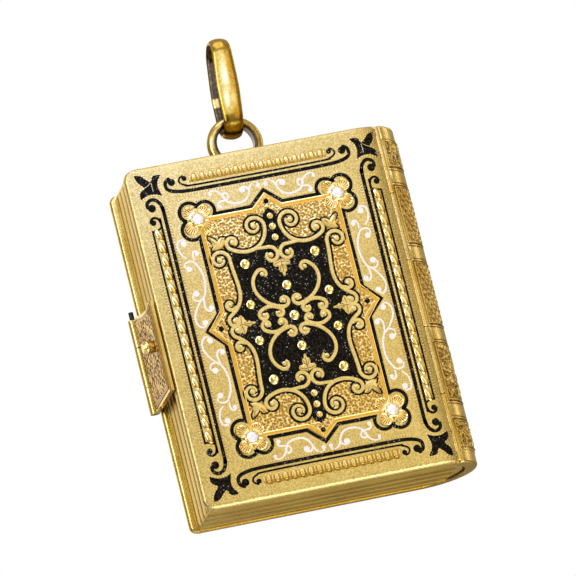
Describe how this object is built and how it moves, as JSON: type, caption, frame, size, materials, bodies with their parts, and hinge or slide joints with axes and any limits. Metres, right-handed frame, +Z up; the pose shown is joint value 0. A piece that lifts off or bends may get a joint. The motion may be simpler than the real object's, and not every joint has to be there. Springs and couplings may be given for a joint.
{
  "type": "book-shaped pendant watch",
  "caption": "Gold and enamel pendant watch made as a closed book, with hinged front cover, hinged fore-edge clasp, loop and long bail.",
  "frame": {"origin": "top of the opening inside the bail, where a chain bears", "axes": "+Z up as the watch hangs, -Y out of the front cover, +X towards the spine"},
  "size_m": [0.0311, 0.0107, 0.0489],
  "materials": {
    "polished_gold": "polished",
    "engraved_gold": "engraved",
    "matte_gold": "matte",
    "page_gold": "satin",
    "dark_steel": "satin",
    "blued_steel": "polished",
    "black_enamel": "gloss",
    "white_stone": "polished",
    "crystal": "polished",
    "white_dial": "gloss"
  },
  "bodies": {
    "bail": {"bail": "polished_gold"},
    "case": {"loop": "polished_gold", "back_cover_with_spine": "engraved_gold", "page_block": "page_gold", "hinge_pin": "polished_gold", "clasp_pin": "dark_steel", "bezel": "polished_gold", "crystal": "crystal", "dial": "white_dial", "arbor": "polished_gold"},
    "front_cover": {"front_cover": "matte_gold", "black_enamel": "black_enamel", "scrollwork": "matte_gold", "gold_studs": "polished_gold", "gadroon_rows": "polished_gold", "bead_columns": "polished_gold", "quatrefoil_top_left": "engraved_gold", "quatrefoil_top_right": "engraved_gold", "quatrefoil_bottom_left": "engraved_gold", "quatrefoil_bottom_right": "engraved_gold", "stone_top_left": "white_stone", "stone_top_right": "white_stone", "stone_bottom_left": "white_stone", "stone_bottom_right": "white_stone"},
    "clasp": {"clasp": "engraved_gold"},
    "hour_hand": {"hour_hand": "blued_steel"},
    "minute_hand": {"minute_hand": "blued_steel"}
  },
  "joints": [
    {"name": "case_swing", "type": "hinge", "parent": "bail", "child": "case", "pos_m": [-0.00066, 0, -0.00818], "axis": [1, 0, 0], "range_deg": [-80, 80]},
    {"name": "cover_hinge", "type": "hinge", "parent": "case", "child": "front_cover", "pos_m": [0.01285, -0.00417, -0.03018], "axis": [0, 0, 1], "range_deg": [0, 110]},
    {"name": "clasp_hinge", "type": "hinge", "parent": "case", "child": "clasp", "pos_m": [-0.01436, 0.0043, -0.03018], "axis": [0, 0, -1], "range_deg": [0, 120]},
    {"name": "minute_turn", "type": "hinge", "parent": "case", "child": "minute_hand", "pos_m": [-0.00096, -0.0029, -0.03018], "axis": [0, 1, 0], "continuous": true},
    {"name": "hour_turn", "type": "hinge", "parent": "case", "child": "hour_hand", "pos_m": [-0.00096, -0.0027, -0.03018], "axis": [0, 1, 0], "continuous": true}
  ],
  "couplings": [
    {"joint": "hour_turn", "follows": "minute_turn", "ratio": 0.083333}
  ]
}
